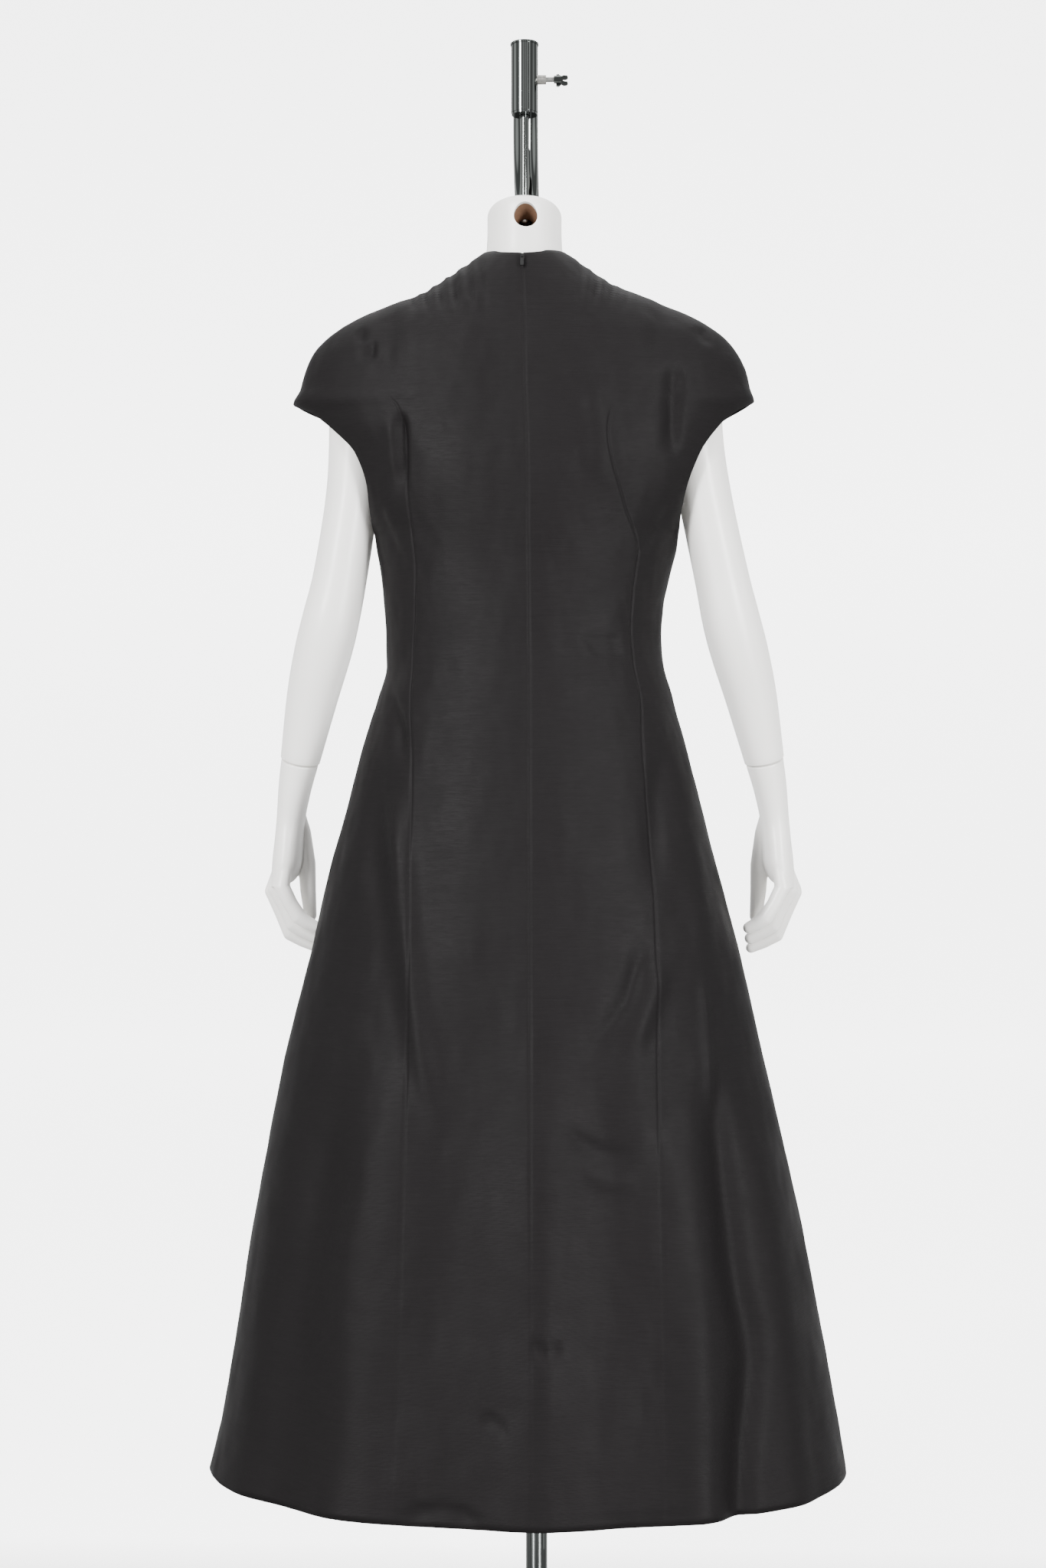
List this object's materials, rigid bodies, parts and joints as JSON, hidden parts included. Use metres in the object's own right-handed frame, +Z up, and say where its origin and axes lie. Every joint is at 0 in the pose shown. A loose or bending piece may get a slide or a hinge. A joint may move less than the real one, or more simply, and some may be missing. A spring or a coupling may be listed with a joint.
{
  "type": "dress form mannequin",
  "caption": "Headless display form with removable arms and twisting hands, hung by a neck rod from a chrome floor stand, wearing a long cap-sleeved dress.",
  "frame": {"origin": "on the floor under the middle of the base plate", "axes": "+Z up, +Y from the hung form towards the stand's pole and the way the form faces, +X to the form's right"},
  "size_m": [0.764, 0.78, 2.05],
  "materials": {
    "form_paint": "satin off-white lacquer over cast glass fibre",
    "chrome_tube": "bright polished chrome plating",
    "plate_steel": "brushed steel plate with a satin sheen",
    "zinc_steel": "bright zinc plated fasteners",
    "pad_rubber": "soft black rubber",
    "core_wood": "raw brown hardwood",
    "boss_alloy": "turned satin aluminium",
    "pad_brass": "turned brass",
    "guide_nylon": "natural nylon",
    "dress_cloth": "charcoal black faille with a soft sheen",
    "zip_tape_cloth": "black woven zip tape with nylon coils",
    "zip_metal": "dark grey lacquered zinc"
  },
  "bodies": {
    "stand": {"base_plate": "plate_steel", "base_pads": "pad_rubber", "pad_screws": "zinc_steel", "pole_flange": "chrome_tube", "flange_bolts": "zinc_steel", "flange_grub_screw": "zinc_steel", "lower_pole": "chrome_tube", "pole_spigot": "zinc_steel", "upper_pole": "chrome_tube", "pole_plug": "chrome_tube", "socket_saddle": "chrome_tube", "head_socket": "chrome_tube", "socket_cap": "chrome_tube", "socket_floor": "chrome_tube", "clamp_boss": "boss_alloy"},
    "clamp_pad": {"clamp_pad": "pad_brass"},
    "thumbscrew": {"thumbscrew_shank": "zinc_steel", "thumbscrew_wings": "chrome_tube"},
    "slide_sleeve": {"guide_sleeve": "guide_nylon"},
    "mannequin": {"hanger_rod": "chrome_tube", "rod_top_washer": "zinc_steel", "rod_top_nut": "zinc_steel", "neck_washer": "zinc_steel", "neck_dome_nut": "chrome_tube", "neck_shell": "form_paint", "neck_core": "core_wood", "torso_shell": "form_paint", "torso_base_cap": "form_paint", "left_shoulder_plate": "zinc_steel", "right_shoulder_plate": "zinc_steel", "shoulder_plate_screws": "zinc_steel", "dress_bodice": "dress_cloth", "dress_skirt": "dress_cloth", "zip_tape": "zip_tape_cloth", "zip_slider": "zip_metal"},
    "left_arm": {"left_arm_shell": "form_paint", "left_arm_stud": "zinc_steel", "left_wrist_bush": "guide_nylon"},
    "right_arm": {"right_arm_shell": "form_paint", "right_arm_stud": "zinc_steel", "right_wrist_bush": "guide_nylon"},
    "left_hand": {"left_hand": "form_paint", "left_wrist_pin": "zinc_steel"},
    "right_hand": {"right_hand": "form_paint", "right_wrist_pin": "zinc_steel"},
    "zip_pull": {"zip_pull": "zip_metal"}
  },
  "joints": [
    {"name": "height_slide", "type": "slide", "parent": "stand", "child": "slide_sleeve", "axis": [0, 0, 1], "range_m": [0, 0.02]},
    {"name": "mannequin_swivel", "type": "hinge", "parent": "slide_sleeve", "child": "mannequin", "pos_m": [0, -0.12, 1.966], "axis": [0, 0, 1], "continuous": true},
    {"name": "thumbscrew_travel", "type": "slide", "parent": "stand", "child": "clamp_pad", "axis": [1, 0, 0], "range_m": [0, 0.002]},
    {"name": "thumbscrew_turn", "type": "hinge", "parent": "clamp_pad", "child": "thumbscrew", "pos_m": [0.02, -0.12, 2.006], "axis": [1, 0, 0], "range_deg": [0, 720]},
    {"name": "left_arm_release", "type": "slide", "parent": "mannequin", "child": "left_arm", "axis": [-1, 0, 0], "range_m": [0, 0.018]},
    {"name": "right_arm_release", "type": "slide", "parent": "mannequin", "child": "right_arm", "axis": [1, 0, 0], "range_m": [0, 0.018]},
    {"name": "left_hand_twist", "type": "hinge", "parent": "left_arm", "child": "left_hand", "pos_m": [-0.2775, -0.0695, 1.19], "axis": [0.2179, -0.2449, 0.9447], "range_deg": [-10, 80]},
    {"name": "right_hand_twist", "type": "hinge", "parent": "right_arm", "child": "right_hand", "pos_m": [0.2905, -0.0695, 1.19], "axis": [0.2179, 0.2449, -0.9447], "range_deg": [-10, 80]},
    {"name": "zip_pull_swing", "type": "hinge", "parent": "mannequin", "child": "zip_pull", "pos_m": [0, -0.19124, 1.778], "axis": [-1, 0, 0], "range_deg": [0, 150]}
  ],
  "couplings": [
    {"joint": "thumbscrew_turn", "follows": "thumbscrew_travel", "rad_per_m": 6283.2}
  ]
}
